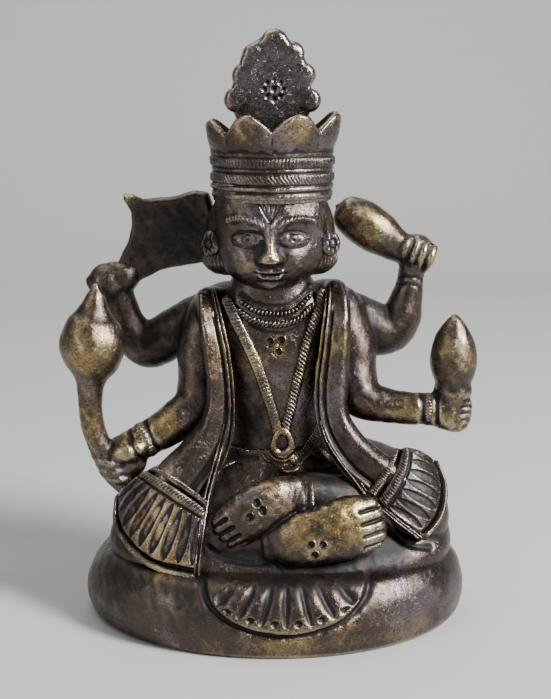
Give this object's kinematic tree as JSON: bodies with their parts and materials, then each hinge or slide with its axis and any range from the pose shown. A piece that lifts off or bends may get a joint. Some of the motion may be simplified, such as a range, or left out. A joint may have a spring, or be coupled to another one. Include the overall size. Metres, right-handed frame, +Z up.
{
  "type": "brass deity statue",
  "caption": "Small solid-cast brass figure of a seated deity with raised attributes, crown and crest, on a rounded oval base that stands by its own weight.",
  "frame": {"origin": "middle of the base's flat underside, which is the plane z = 0", "axes": "+Z up, from the underside to the crest; -Y is the figure's front; +X is to the right as seen from the front"},
  "size_m": [0.0776, 0.0587, 0.1099],
  "materials": {
    "aged_brass": "hand-chased casting, dark brown patina in the hollows and worn to dull gold on the high places"
  },
  "bodies": {
    "root": {"statue": "aged_brass"}
  },
  "joints": []
}
